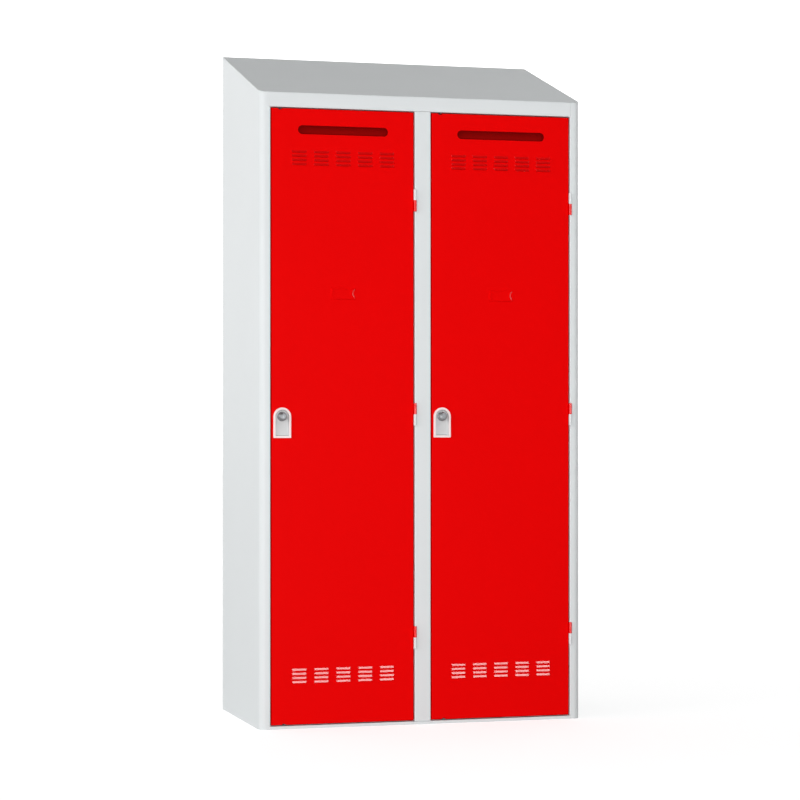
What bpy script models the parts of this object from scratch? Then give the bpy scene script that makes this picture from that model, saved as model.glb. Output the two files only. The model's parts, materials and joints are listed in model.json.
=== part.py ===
"""Two-door clothes locker of folded sheet steel with a sloping roof.

Lengths are in metres. The doors face -Y, +Z is up, and the origin lies on the floor under the middle
of the carcass. Every door piece is built round the axis of its door's hinges, every lock piece round
the axis of its knob.
"""

from math import atan2, cos, pi, radians, sin, sqrt, tan

import bmesh
import bpy
from mathutils import Vector

MM = 0.001

# Fits shared by the whole locker
SEAM = 0.3 * MM
PLAY = 0.5 * MM
DOOR_GAP = 3 * MM

# Carcass
WIDTH = 960 * MM
DEPTH = 500 * MM
FRONT_HEIGHT = 1800 * MM
ROOF_RISE = 165 * MM
SHEET = 1 * MM
SHEET_BEND = 1.5 * MM
CORNER_BEND = 12 * MM
SIDE_STILE = 32 * MM
CENTRE_STILE = 48 * MM
HEADER_HEIGHT = 42 * MM
BOTTOM_RAIL_HEIGHT = 9 * MM
STOP_LIP = 16 * MM
BEARER_WIDTH = 40 * MM

# Inside of each compartment
SHELF_DROP = 300 * MM
SHELF_SETBACK = 50 * MM
SHELF_LIP = 18 * MM
SHELF_HEM = 10 * MM
CLOTHES_RAIL_DROP = 62 * MM
CLOTHES_RAIL_RADIUS = 10 * MM
CLOTHES_RAIL_WALL = 1.2 * MM
SOCKET_FLANGE_RADIUS = 18 * MM
SOCKET_WALL = 2.5 * MM
SOCKET_LENGTH = 10 * MM
HOOK_DROP = 150 * MM
HOOK_WIDTH = 20 * MM
HOOK_STRIP = 3 * MM
HOOK_BEND = 7 * MM
HOOK_PLATE = 55 * MM
HOOK_REACH = 42 * MM
HOOK_TIP = 26 * MM
BUFFER_RADIUS = 4 * MM
BUFFER_THICKNESS = 3.4 * MM
BUFFER_INSET = 60 * MM

# Doors
DOOR_DEPTH = 20 * MM
DOOR_SHEET = 1 * MM
DOOR_BEND = 2 * MM
DOOR_LIP = 12 * MM
SLOT_LENGTH = 264 * MM
SLOT_HEIGHT = 25 * MM
SLOT_DROP = 59.5 * MM
BAFFLE_OVERLAP = 12 * MM
BAFFLE_DEPTH = 15 * MM
VENT_COLUMNS = 5
VENT_ROWS = 4
VENT_LENGTH = 42.5 * MM
VENT_PITCH = 64.4 * MM
VENT_ROW_PITCH = 11.7 * MM
VENT_HOOD = 6.2 * MM
VENT_REACH = 3.5 * MM
VENT_TAPER = 2.5 * MM
VENT_GAP = 0.6 * MM
VENT_EDGE = 138.5 * MM
STIFFENER_WIDTH = 60 * MM
STIFFENER_FLANGE = 15 * MM
STIFFENER_DEPTH = 15 * MM
STIFFENER_MARGIN = 40 * MM
LABEL_WIDTH = 70 * MM
LABEL_HEIGHT = 32 * MM
LABEL_THICKNESS = 2.4 * MM
LABEL_BORDER = 4 * MM
LABEL_RECESS = 1.4 * MM
LABEL_NOTCH_HEIGHT = 20 * MM
LABEL_NOTCH_DEPTH = 5 * MM
LABEL_DROP = 522 * MM

# Hinges
KNUCKLE_RADIUS = 4.5 * MM
KNUCKLE_LENGTH = 32 * MM
PIN_RADIUS = 2.5 * MM
PIN_LENGTH = 28 * MM
HINGE_OFFSET = 3 * MM
LEAF_DEPTH = 15 * MM
LEAF_INSET = 1 * MM
TOP_HINGE_DROP = 252 * MM
MIDDLE_HINGE_RISE = 6 * MM
BOTTOM_HINGE_RISE = 238 * MM

# Lock
LOCK_WIDTH = 51.5 * MM
LOCK_HEIGHT = 86.5 * MM
LOCK_MARGIN = 5 * MM
LOCK_PROUD = 4 * MM
LOCK_EDGE = 1 * MM
LOCK_RIM = 6.2 * MM
LOCK_SLOPE = 1.8 * MM
LOCK_DISH = 3 * MM
LOCK_WALL = 1.5 * MM
SLEEVE_WALL = 2.7 * MM
SLEEVE_END = 1 * MM
CLAMP_SHEET = 1.5 * MM
CLAMP_BEND = 0.5 * MM
CLAMP_FOOT = 6 * MM
CLAMP_HEIGHT = 26 * MM
NUT_ACROSS_FLATS = 24 * MM
NUT_THICKNESS = 4 * MM
KNOB_RADIUS = 11.8 * MM
KNOB_REACH = 16 * MM
KNOB_EDGE = 3 * MM
KNOB_NECK_RADIUS = 9 * MM
KNOB_COLLAR_RADIUS = 13.5 * MM
KNOB_COLLAR = 2 * MM
KEY_SLOT_LENGTH = 8 * MM
KEY_SLOT_WIDTH = 1.6 * MM
KEY_SLOT_DEPTH = 3 * MM
SPINDLE_RADIUS = 6 * MM
SPINDLE_SQUARE = 5 * MM
CAM_SHEET = 2 * MM
CAM_HUB_RADIUS = 10 * MM
TONGUE_WIDTH = 12 * MM
TONGUE_GRIP = 8 * MM
ROD_TRAVEL = 9 * MM
ROD_THICKNESS = 2.5 * MM
ROD_SHIM = 0.7 * MM
ROD_WALL = 1.9 * MM
ROD_TIP = 2 * MM
ROD_CHAMFER = 2 * MM
ROD_PIN_RADIUS = 1.5 * MM
GUIDE_INSET = 200 * MM
GUIDE_WALL = 3 * MM
GUIDE_LIP = 1.5 * MM
GUIDE_LENGTH = 14 * MM

# Smoothness of arcs and round pieces
BEND_STEPS = 3
ARC_STEPS = 12
ROUND_SIDES = 24
PIN_SIDES = 12

# Planes and heights that follow from the sizes above
LEFT = -WIDTH / 2
RIGHT = WIDTH / 2
FRONT = -DEPTH / 2
BACK = DEPTH / 2
REBATE = DOOR_DEPTH + BUFFER_THICKNESS + 2 * SEAM
STILE_FOLD = SHEET + SHEET_BEND
INSIDE_FRONT = FRONT + REBATE + SHEET + SEAM
INSIDE_BACK = BACK - SHEET - SEAM
HEADER_BOTTOM = FRONT_HEIGHT - HEADER_HEIGHT
SHELF_TOP = HEADER_BOTTOM - DOOR_GAP - SHELF_DROP

# A door in its own frame: origin on the hinge axis, at floor level
HINGE_STANDOFF = KNUCKLE_RADIUS + SEAM
DOOR_WIDTH = (WIDTH - 2 * SIDE_STILE - CENTRE_STILE - 4 * DOOR_GAP) / 2
DOOR_RIGHT = -HINGE_OFFSET
DOOR_LEFT = DOOR_RIGHT - DOOR_WIDTH
DOOR_CENTRE = (DOOR_LEFT + DOOR_RIGHT) / 2
DOOR_FRONT = HINGE_STANDOFF
DOOR_BOTTOM = BOTTOM_RAIL_HEIGHT + DOOR_GAP
DOOR_TOP = HEADER_BOTTOM - DOOR_GAP
SKIN_BACK = DOOR_FRONT + DOOR_SHEET + SEAM
HINGE_AXIS_Y = FRONT - HINGE_STANDOFF
HINGE_AXIS_X = {
    "left": -CENTRE_STILE / 2 - DOOR_GAP + HINGE_OFFSET,
    "right": RIGHT - SIDE_STILE - DOOR_GAP + HINGE_OFFSET,
}

# A lock in its own frame: origin on the knob's axis, in the plane of the door's face
LOCK_X = DOOR_LEFT + LOCK_MARGIN + LOCK_WIDTH / 2
LOCK_Z = (DOOR_BOTTOM + DOOR_TOP) / 2
CUP_BACK = LOCK_DISH + LOCK_WALL
LOCK_FLANGE = LOCK_RIM + LOCK_SLOPE * LOCK_PROUD / (LOCK_PROUD + LOCK_DISH) - LOCK_WALL
CLAMP_BACK = CUP_BACK + SEAM + CLAMP_SHEET
NUT_BACK = CLAMP_BACK + SEAM + NUT_THICKNESS
SLEEVE_BACK = NUT_BACK + SLEEVE_END
SLEEVE_BORE = SPINDLE_RADIUS + SEAM
SLEEVE_RADIUS = SLEEVE_BORE + SLEEVE_WALL
CAM_FRONT = SLEEVE_BACK + SEAM
CAM_BACK = CAM_FRONT + CAM_SHEET
TONGUE_LENGTH = LOCK_X - DOOR_LEFT + DOOR_GAP + SHEET + TONGUE_GRIP
ROD_FRONT = CAM_BACK + ROD_SHIM
ROD_BACK = ROD_FRONT + ROD_THICKNESS

# The knob's quarter turn carries each cam pin from 45 degrees on one side of level to 45 on the other
CRANK = ROD_TRAVEL / sqrt(2)
CRANK_START = CRANK / sqrt(2)
ROD_SLOT_NEAR = CRANK_START - ROD_PIN_RADIUS - PLAY
ROD_SLOT_FAR = CRANK + ROD_PIN_RADIUS + PLAY
ROD_SLOT_HALF_HEIGHT = ROD_PIN_RADIUS + PLAY
ROD_NEAR = ROD_SLOT_NEAR - ROD_WALL
ROD_FAR = ROD_SLOT_FAR + ROD_WALL
ROD_CENTRE = (ROD_NEAR + ROD_FAR) / 2
ROD_HALF_WIDTH = (ROD_FAR - ROD_NEAR) / 2


# Materials

def linear(channel):
    value = channel / 255
    return value / 12.92 if value <= 0.04045 else ((value + 0.055) / 1.055) ** 2.4


def material(name, colour, roughness, metallic):
    made = bpy.data.materials.new(name)
    made.use_nodes = True
    shader = made.node_tree.nodes["Principled BSDF"]
    shader.inputs["Base Color"].default_value = (*(linear(channel) for channel in colour), 1)
    shader.inputs["Roughness"].default_value = roughness
    shader.inputs["Metallic"].default_value = metallic
    return made


# Outlines in two dimensions

def folded_sheet(path, sheet, bend):
    """Both sides of a sheet on the left of path, bent round at each corner.

    A corner with a third value is bent to that radius, and any other to bend.
    """
    points = [Vector(point[:2]) for point in path]
    near = []
    far = []
    for index, here in enumerate(points):
        arrive = (here - points[index - 1]).normalized() if index else None
        leave = (points[index + 1] - here).normalized() if index + 1 < len(points) else None
        heading = arrive or leave
        left = Vector((-heading.y, heading.x))
        if arrive is None or leave is None:
            near.append(here)
            far.append(here + left * sheet)
            continue
        angle = atan2(arrive.cross(leave), arrive.dot(leave))
        towards_sheet = angle > 0
        inside = path[index][2] if len(path[index]) > 2 else bend
        near_radius = inside + sheet if towards_sheet else inside
        far_radius = inside if towards_sheet else inside + sheet
        inward = left if towards_sheet else -left
        start = here - heading * near_radius * tan(abs(angle) / 2)
        centre = start + inward * near_radius
        for step in range(BEND_STEPS + 1):
            turn = angle * step / BEND_STEPS
            spoke = Vector((
                -inward.x * cos(turn) + inward.y * sin(turn),
                -inward.x * sin(turn) - inward.y * cos(turn),
            ))
            near.append(centre + spoke * near_radius)
            far.append(centre + spoke * far_radius)
    return near, far


def folded_outline(path, sheet, bend):
    near, far = folded_sheet(path, sheet, bend)
    return near + far[::-1]


def rectangle(low, high):
    return [(low[0], low[1]), (high[0], low[1]), (high[0], high[1]), (low[0], high[1])]


def arc(centre, radius, start, end, steps):
    turns = [start + (end - start) * step / steps for step in range(steps + 1)]
    return [(centre[0] + radius * cos(turn), centre[1] + radius * sin(turn)) for turn in turns]


def arch(inset):
    """The lock's outline: a half circle round the knob's axis over straight sides and foot."""
    half = LOCK_WIDTH / 2 - inset
    foot = LOCK_WIDTH / 2 - LOCK_HEIGHT + inset
    return [(-half, foot), (half, foot), *arc((0, 0), half, 0, pi, ARC_STEPS)]


# Solids. Outline axes are Y, Z for a piece along X; X, Z along Y; and X, Y along Z.

def place(axis, first, second, along):
    return {"X": (along, first, second), "Y": (first, along, second), "Z": (first, second, along)}[axis]


def prism(outline, axis, start, end, bm=None):
    bm = bm or bmesh.new()
    face = bm.faces.new([bm.verts.new(place(axis, *point, start)) for point in outline])
    grown = bmesh.ops.extrude_face_region(bm, geom=[face])["geom"]
    moved = [item for item in grown if isinstance(item, bmesh.types.BMVert)]
    bmesh.ops.translate(bm, verts=moved, vec=place(axis, 0, 0, end - start))
    return bm


def box(low, high, bm=None):
    return prism(rectangle(low[:2], high[:2]), "Z", low[2], high[2], bm)


def loft(loops, bm=None):
    bm = bm or bmesh.new()
    rings = [[bm.verts.new(point) for point in loop] for loop in loops]
    for one, other in zip(rings, rings[1:]):
        for index in range(len(one)):
            bm.faces.new((one[index - 1], one[index], other[index], other[index - 1]))
    bm.faces.new(rings[0])
    bm.faces.new(rings[-1])
    return bm


def turned(profile, axis, sides, ring=False):
    """A solid turned about axis from points of radius and place along it."""
    bm = bmesh.new()
    verts = [bm.verts.new(place(axis, radius, 0, along)) for radius, along in profile]
    pairs = list(zip(verts, verts[1:]))
    if ring:
        pairs.append((verts[-1], verts[0]))
    edges = [bm.edges.new(pair) for pair in pairs]
    bmesh.ops.spin(
        bm, geom=verts + edges, cent=(0, 0, 0), axis=place(axis, 0, 0, 1),
        angle=2 * pi, steps=sides, use_merge=True,
    )
    bmesh.ops.remove_doubles(bm, verts=bm.verts, dist=1e-6)
    return bm


def lean_to_roof(bm):
    """Runs every upper corner of an upright solid up to the underside of the roof."""
    for vert in bm.verts:
        if vert.co.z > FRONT_HEIGHT / 2:
            vert.co.z = roof_underside(vert.co.y) - SEAM
    return bm


def roof_underside(y):
    return FRONT_HEIGHT - SHEET + ROOF_RISE * (y - FRONT) / DEPTH


# Objects

def add(name, bm, finish, parent=None, location=(0, 0, 0)):
    bmesh.ops.triangulate(bm, faces=[face for face in bm.faces if len(face.verts) > 4])
    bmesh.ops.recalc_face_normals(bm, faces=bm.faces)
    mesh = bpy.data.meshes.new(name)
    bm.to_mesh(mesh)
    bm.free()
    mesh.shade_smooth()
    mesh.set_sharp_from_angle(angle=radians(35))
    made = bpy.data.objects.new(name, mesh)
    if finish:
        mesh.materials.append(finish)
    made.parent = parent
    made.location = location
    bpy.context.collection.objects.link(made)
    return made


def empty(name, location, parent=None):
    made = bpy.data.objects.new(name, None)
    made.location = location
    made.parent = parent
    bpy.context.collection.objects.link(made)
    return made


def combine(target, bm, operation):
    """Cuts a solid out of target, or joins it on, with a hidden helper in target's own frame."""
    helper = add(f"{target.name}_helper", bm, None, target.parent, target.location)
    helper.hide_render = True
    helper.display_type = "WIRE"
    modifier = target.modifiers.new(operation.lower(), "BOOLEAN")
    modifier.operation = operation
    modifier.object = helper


def cut(target, bm):
    combine(target, bm, "DIFFERENCE")


def join(target, bm):
    combine(target, bm, "UNION")


# Carcass

def tongue_slot(x, y, z):
    """The slot that a lock's tongue sweeps through in an upright sheet at x."""
    reach = max(SHEET, DOOR_SHEET) + max(SHEET_BEND, DOOR_BEND)
    low = (x - reach, y + CAM_FRONT - PLAY, z - TONGUE_LENGTH - PLAY)
    high = (x + reach, y + CAM_BACK + PLAY, z + TONGUE_WIDTH / 2 + PLAY)
    return box(low, high)


def rail_notches(edge):
    """Room in a stile's folded edge, which lies at edge, for the ends of the header and the bottom rail."""
    back = FRONT + DOOR_DEPTH + SHEET
    low = (edge - STILE_FOLD, FRONT - SHEET, -SHEET)
    high = (edge + STILE_FOLD, back, roof_underside(back))
    bm = box(low, (high[0], high[1], BOTTOM_RAIL_HEIGHT + SEAM))
    return box((low[0], low[1], HEADER_BOTTOM - SEAM), high, bm)


def side_panels(paint):
    edge = LEFT + SIDE_STILE
    left_path = [(LEFT, BACK), (LEFT, FRONT, CORNER_BEND), (edge, FRONT), (edge, FRONT + DOOR_DEPTH)]
    right_path = [(-x, y, *bend) for x, y, *bend in reversed(left_path)]
    for name, path in (("left_side_panel", left_path), ("right_side_panel", right_path)):
        solid = prism(folded_outline(path, SHEET, SHEET_BEND), "Z", 0, FRONT_HEIGHT)
        panel = add(name, lean_to_roof(solid), paint)
        if name == "left_side_panel":
            cut(panel, rail_notches(edge))
            cut(panel, tongue_slot(edge, FRONT, LOCK_Z))
        else:
            cut(panel, rail_notches(-edge))


def centre_stile(paint):
    half = CENTRE_STILE / 2
    stile_back = FRONT + DOOR_DEPTH
    path = [(-half, stile_back), (-half, FRONT), (half, FRONT), (half, stile_back)]
    outline = folded_outline(path, SHEET, SHEET_BEND)
    solid = prism(outline, "Z", BOTTOM_RAIL_HEIGHT + SEAM, HEADER_BOTTOM - SEAM)
    cut(add("centre_stile", solid, paint), tongue_slot(half, FRONT, LOCK_Z))


def rod_holes(sign, low, high):
    """Holes that the rods of both locks run into; sign is -1 for upper rods and 1 for lower ones."""
    bm = bmesh.new()
    for axis_x in HINGE_AXIS_X.values():
        x = axis_x + LOCK_X + sign * ROD_CENTRE
        half = ROD_HALF_WIDTH + PLAY
        box((x - half, FRONT + ROD_FRONT - PLAY, low), (x + half, FRONT + ROD_BACK + PLAY, high), bm)
    return bm


def front_rails(paint):
    half_span = WIDTH / 2 - SIDE_STILE + STILE_FOLD - SEAM
    lip = FRONT + REBATE
    header_top = FRONT_HEIGHT - SHEET - SEAM
    lip_foot = HEADER_BOTTOM - STOP_LIP
    path = [(FRONT, header_top), (FRONT, HEADER_BOTTOM), (lip, HEADER_BOTTOM), (lip, lip_foot)]
    solid = prism(folded_outline(path, SHEET, SHEET_BEND), "X", -half_span, half_span)
    header = add("front_header", solid, paint)
    cut(header, rod_holes(-1, HEADER_BOTTOM - SHEET, HEADER_BOTTOM + 2 * SHEET))
    rail_top = BOTTOM_RAIL_HEIGHT
    path = [(lip, rail_top + STOP_LIP), (lip, rail_top), (FRONT, rail_top), (FRONT, 0)]
    solid = prism(folded_outline(path, SHEET, SHEET_BEND), "X", -half_span, half_span)
    rail = add("bottom_rail", solid, paint)
    cut(rail, rod_holes(1, rail_top - 2 * SHEET, rail_top + SHEET))


def flat_panels(paint):
    inner = WIDTH / 2 - SHEET - SEAM
    floor_bottom = BOTTOM_RAIL_HEIGHT - SHEET
    radius = CORNER_BEND + SHEET
    plan = [
        *arc((LEFT + radius, FRONT + radius), radius, pi, 3 * pi / 2, BEND_STEPS),
        *arc((RIGHT - radius, FRONT + radius), radius, 3 * pi / 2, 2 * pi, BEND_STEPS),
        (RIGHT, BACK),
        (LEFT, BACK),
    ]
    roof = prism(plan, "Z", 0, SHEET)
    for vert in roof.verts:
        vert.co.z += roof_underside(vert.co.y)
    add("sloping_roof", roof, paint)
    back = box((-inner, BACK - SHEET, 0), (inner, BACK, FRONT_HEIGHT))
    add("back_panel", lean_to_roof(back), paint)
    partition_foot = BOTTOM_RAIL_HEIGHT + SEAM
    partition = box((-SHEET / 2, INSIDE_FRONT, partition_foot), (SHEET / 2, INSIDE_BACK, FRONT_HEIGHT))
    add("centre_partition", lean_to_roof(partition), paint)
    floor = box((-inner, INSIDE_FRONT, floor_bottom), (inner, INSIDE_BACK, BOTTOM_RAIL_HEIGHT))
    add("floor_panel", floor, paint)
    half = BEARER_WIDTH / 2
    leg_top = floor_bottom - SEAM
    channel = folded_outline([(-half, leg_top), (-half, 0), (half, 0), (half, leg_top)], SHEET, SHEET_BEND)
    add("floor_bearer", prism(channel, "Y", INSIDE_FRONT, INSIDE_BACK), paint)


# Fittings inside a compartment

def rail_socket(wall, facing):
    """Flanged cup on a wall; facing is 1 where it opens towards +X and -1 where it opens towards -X."""
    bore = CLOTHES_RAIL_RADIUS + SEAM
    collar = bore + SOCKET_WALL
    profile = [
        (0, 0),
        (SOCKET_FLANGE_RADIUS, 0),
        (SOCKET_FLANGE_RADIUS, SOCKET_WALL),
        (collar, SOCKET_WALL),
        (collar, SOCKET_LENGTH),
        (bore, SOCKET_LENGTH),
        (bore, SOCKET_WALL),
        (0, SOCKET_WALL),
    ]
    return turned([(radius, wall + facing * along) for radius, along in profile], "X", ROUND_SIDES)


def compartment(side, left_wall, right_wall, paint, chrome, zinc, plastic):
    shelf_path = [
        (INSIDE_BACK, SHELF_TOP),
        (FRONT + SHELF_SETBACK, SHELF_TOP),
        (FRONT + SHELF_SETBACK, SHELF_TOP - SHELF_LIP),
        (FRONT + SHELF_SETBACK + SHELF_HEM, SHELF_TOP - SHELF_LIP),
    ]
    shelf = prism(folded_outline(shelf_path, SHEET, SHEET_BEND), "X", left_wall, right_wall)
    add(f"{side}_hat_shelf", shelf, paint)

    rail_height = SHELF_TOP - CLOTHES_RAIL_DROP
    rail_place = (0, (INSIDE_FRONT + INSIDE_BACK) / 2, rail_height)
    start = left_wall + SOCKET_WALL + SEAM
    end = right_wall - SOCKET_WALL - SEAM
    bore = CLOTHES_RAIL_RADIUS - CLOTHES_RAIL_WALL
    tube = [(bore, start), (CLOTHES_RAIL_RADIUS, start), (CLOTHES_RAIL_RADIUS, end), (bore, end)]
    add(f"{side}_clothes_rail", turned(tube, "X", ROUND_SIDES, ring=True), chrome, location=rail_place)
    add(f"{side}_rail_socket_outer", rail_socket(left_wall, 1), plastic, location=rail_place)
    add(f"{side}_rail_socket_inner", rail_socket(right_wall, -1), plastic, location=rail_place)

    foot = SHELF_TOP - HOOK_DROP
    tip_y = INSIDE_BACK - HOOK_REACH
    hook_path = [
        (tip_y, foot + HOOK_TIP),
        (tip_y, foot),
        (INSIDE_BACK, foot),
        (INSIDE_BACK, foot + HOOK_PLATE),
    ]
    middle = (left_wall + right_wall) / 2
    strip = folded_outline(hook_path, HOOK_STRIP, HOOK_BEND)
    add(f"{side}_coat_hook", prism(strip, "X", middle - HOOK_WIDTH / 2, middle + HOOK_WIDTH / 2), zinc)


def door_buffer(side, rubber):
    centre = (
        HINGE_AXIS_X[side] + DOOR_LEFT + BUFFER_INSET,
        FRONT + REBATE - SEAM,
        HEADER_BOTTOM - (STOP_LIP + DOOR_GAP) / 2,
    )
    profile = [(0, -BUFFER_THICKNESS), (BUFFER_RADIUS, -BUFFER_THICKNESS), (BUFFER_RADIUS, 0), (0, 0)]
    add(f"{side}_door_buffer", turned(profile, "Y", PIN_SIDES), rubber, location=centre)


# Doors

def door_loop(inset, y):
    x_low = DOOR_LEFT + inset
    x_high = DOOR_RIGHT - inset
    z_low = DOOR_BOTTOM + inset
    z_high = DOOR_TOP - inset
    return [(x_low, y, z_low), (x_high, y, z_low), (x_high, y, z_high), (x_low, y, z_high)]


def vent_places():
    """Middle of each louvre in both blocks, as X and Z in the door's frame."""
    places = []
    for block in (DOOR_BOTTOM + VENT_EDGE, DOOR_TOP - VENT_EDGE):
        for column in range(VENT_COLUMNS):
            for row in range(VENT_ROWS):
                x = DOOR_CENTRE + (column - (VENT_COLUMNS - 1) / 2) * VENT_PITCH
                z = block + (row - (VENT_ROWS - 1) / 2) * VENT_ROW_PITCH
                places.append((x, z))
    return places


def divide_skins(bm):
    """Parts the door's front and inner skins into bands, so that few cut-outs share a face."""
    row_edges = [(row - VENT_ROWS / 2) * VENT_ROW_PITCH for row in range(VENT_ROWS + 1)]
    heights = [
        *(DOOR_BOTTOM + VENT_EDGE + edge for edge in row_edges),
        *(DOOR_TOP - VENT_EDGE + edge for edge in row_edges),
        *(DOOR_TOP - SLOT_DROP + side * SLOT_HEIGHT for side in (-1, 1)),
        *(LOCK_Z + side * LOCK_HEIGHT for side in (-1, 1)),
    ]
    for height in heights:
        skins = []
        for face in bm.faces:
            middle = face.calc_center_bounds()
            across = DOOR_LIP < middle.x - DOOR_LEFT < DOOR_WIDTH - DOOR_LIP
            if across and DOOR_BOTTOM + DOOR_LIP < middle.z < DOOR_TOP - DOOR_LIP:
                skins.append(face)
        edges = dict.fromkeys(edge for face in skins for edge in face.edges)
        verts = dict.fromkeys(vert for face in skins for vert in face.verts)
        parted = [*verts, *edges, *skins]
        bmesh.ops.bisect_plane(bm, geom=parted, plane_co=(0, 0, height), plane_no=(0, 0, 1))
    return bm


def louvre_wedge(bm, x, z, shift, inset, back, overrun):
    """A wedge under the slope of one hood; shift moves the slope back and inset shortens the ends."""
    top = z + VENT_HOOD / 2
    bottom = z - VENT_HOOD / 2 - overrun
    rake = VENT_REACH / VENT_HOOD
    lip = DOOR_FRONT + shift - rake * (top - bottom)
    crown = top + (back - DOOR_FRONT - shift) / rake
    half = VENT_LENGTH / 2 - inset
    narrow = half - VENT_TAPER
    ends = [
        [(x - half, back, bottom), (x - half, back, crown), (x - narrow, lip, bottom)],
        [(x + half, back, bottom), (x + half, back, crown), (x + narrow, lip, bottom)],
    ]
    loft(ends, bm)


def door_panel(side, hinge, paint):
    back = DOOR_FRONT + DOOR_DEPTH
    path = [(DOOR_LIP, back), (0, back), (0, DOOR_FRONT), (DOOR_LIP, DOOR_FRONT)]
    near, far = folded_sheet(path, DOOR_SHEET, DOOR_BEND)
    pan = loft([door_loop(*point) for point in near[::-1] + far])
    door = add(f"{side}_door_panel", divide_skins(pan), paint, hinge)

    hoods = bmesh.new()
    hollows = bmesh.new()
    wall = DOOR_SHEET * sqrt(VENT_REACH ** 2 + VENT_HOOD ** 2) / VENT_HOOD
    for x, z in vent_places():
        louvre_wedge(hoods, x, z, 0, 0, DOOR_FRONT + DOOR_SHEET / 2, 0)
        louvre_wedge(hollows, x, z, wall, wall, DOOR_FRONT + 2 * DOOR_SHEET, VENT_GAP)
    join(door, hoods)
    cut(door, hollows)

    through = (DOOR_FRONT - DOOR_SHEET, DOOR_FRONT + 2 * DOOR_SHEET)
    radius = SLOT_HEIGHT / 2
    reach = SLOT_LENGTH / 2 - radius
    height = DOOR_TOP - SLOT_DROP
    slot = [
        *arc((DOOR_CENTRE + reach, height), radius, -pi / 2, pi / 2, ARC_STEPS),
        *arc((DOOR_CENTRE - reach, height), radius, pi / 2, 3 * pi / 2, ARC_STEPS),
    ]
    openings = prism(slot, "Y", *through)
    cup = [(LOCK_X + x, LOCK_Z + z) for x, z in arch(LOCK_FLANGE - SEAM)]
    prism(cup, "Y", *through, openings)
    half = ROD_HALF_WIDTH + PLAY
    notch_back = DOOR_FRONT + ROD_BACK + PLAY
    for sign, edge in ((-1, DOOR_TOP), (1, DOOR_BOTTOM)):
        x = LOCK_X + sign * ROD_CENTRE
        notch = DOOR_SHEET + DOOR_BEND
        box((x - half, through[0], edge - notch), (x + half, notch_back, edge + notch), openings)
    cut(door, openings)
    cut(door, tongue_slot(DOOR_LEFT, DOOR_FRONT, LOCK_Z))


def door_fittings(side, hinge, paint):
    web = SKIN_BACK + BAFFLE_DEPTH
    low = DOOR_TOP - SLOT_DROP - SLOT_HEIGHT / 2 - BAFFLE_OVERLAP
    high = low + SLOT_HEIGHT + 2 * BAFFLE_OVERLAP
    path = [(SKIN_BACK, low), (web, low), (web, high), (SKIN_BACK, high)]
    half = SLOT_LENGTH / 2 + BAFFLE_OVERLAP
    baffle = prism(folded_outline(path, DOOR_SHEET, DOOR_BEND), "X", DOOR_CENTRE - half, DOOR_CENTRE + half)
    add(f"{side}_slot_baffle", baffle, paint, hinge)

    flange = SKIN_BACK + DOOR_SHEET
    crest = SKIN_BACK + STIFFENER_DEPTH
    half = STIFFENER_WIDTH / 2
    offsets = [
        (half + STIFFENER_FLANGE, flange),
        (half, flange),
        (half, crest),
        (-half, crest),
        (-half, flange),
        (-half - STIFFENER_FLANGE, flange),
    ]
    outline = folded_outline([(DOOR_CENTRE + x, y) for x, y in offsets], DOOR_SHEET, DOOR_BEND)
    clear = VENT_EDGE + VENT_ROWS * VENT_ROW_PITCH / 2 + STIFFENER_MARGIN
    add(f"{side}_door_stiffener", prism(outline, "Z", DOOR_BOTTOM + clear, DOOR_TOP - clear), paint, hinge)

    right = LABEL_WIDTH / 2
    top = LABEL_HEIGHT / 2
    notch_radius = (LABEL_NOTCH_HEIGHT ** 2 / 4 + LABEL_NOTCH_DEPTH ** 2) / (2 * LABEL_NOTCH_DEPTH)
    notch_centre = right + notch_radius - LABEL_NOTCH_DEPTH
    half_turn = atan2(LABEL_NOTCH_HEIGHT / 2, notch_radius - LABEL_NOTCH_DEPTH)
    outline = [
        (-right, -top),
        (right, -top),
        *arc((notch_centre, 0), notch_radius, pi + half_turn, pi - half_turn, ARC_STEPS),
        (right, top),
        (-right, top),
    ]
    place_on_door = (DOOR_CENTRE, DOOR_FRONT - SEAM, DOOR_TOP - LABEL_DROP)
    holder = add(
        f"{side}_label_holder", prism(outline, "Y", -LABEL_THICKNESS, 0), paint, hinge, place_on_door,
    )
    card = rectangle((LABEL_BORDER - right, LABEL_BORDER - top), (right - LABEL_BORDER, top - LABEL_BORDER))
    cut(holder, prism(card, "Y", -LABEL_THICKNESS - SEAM, LABEL_RECESS - LABEL_THICKNESS))


# Hinges

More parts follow.
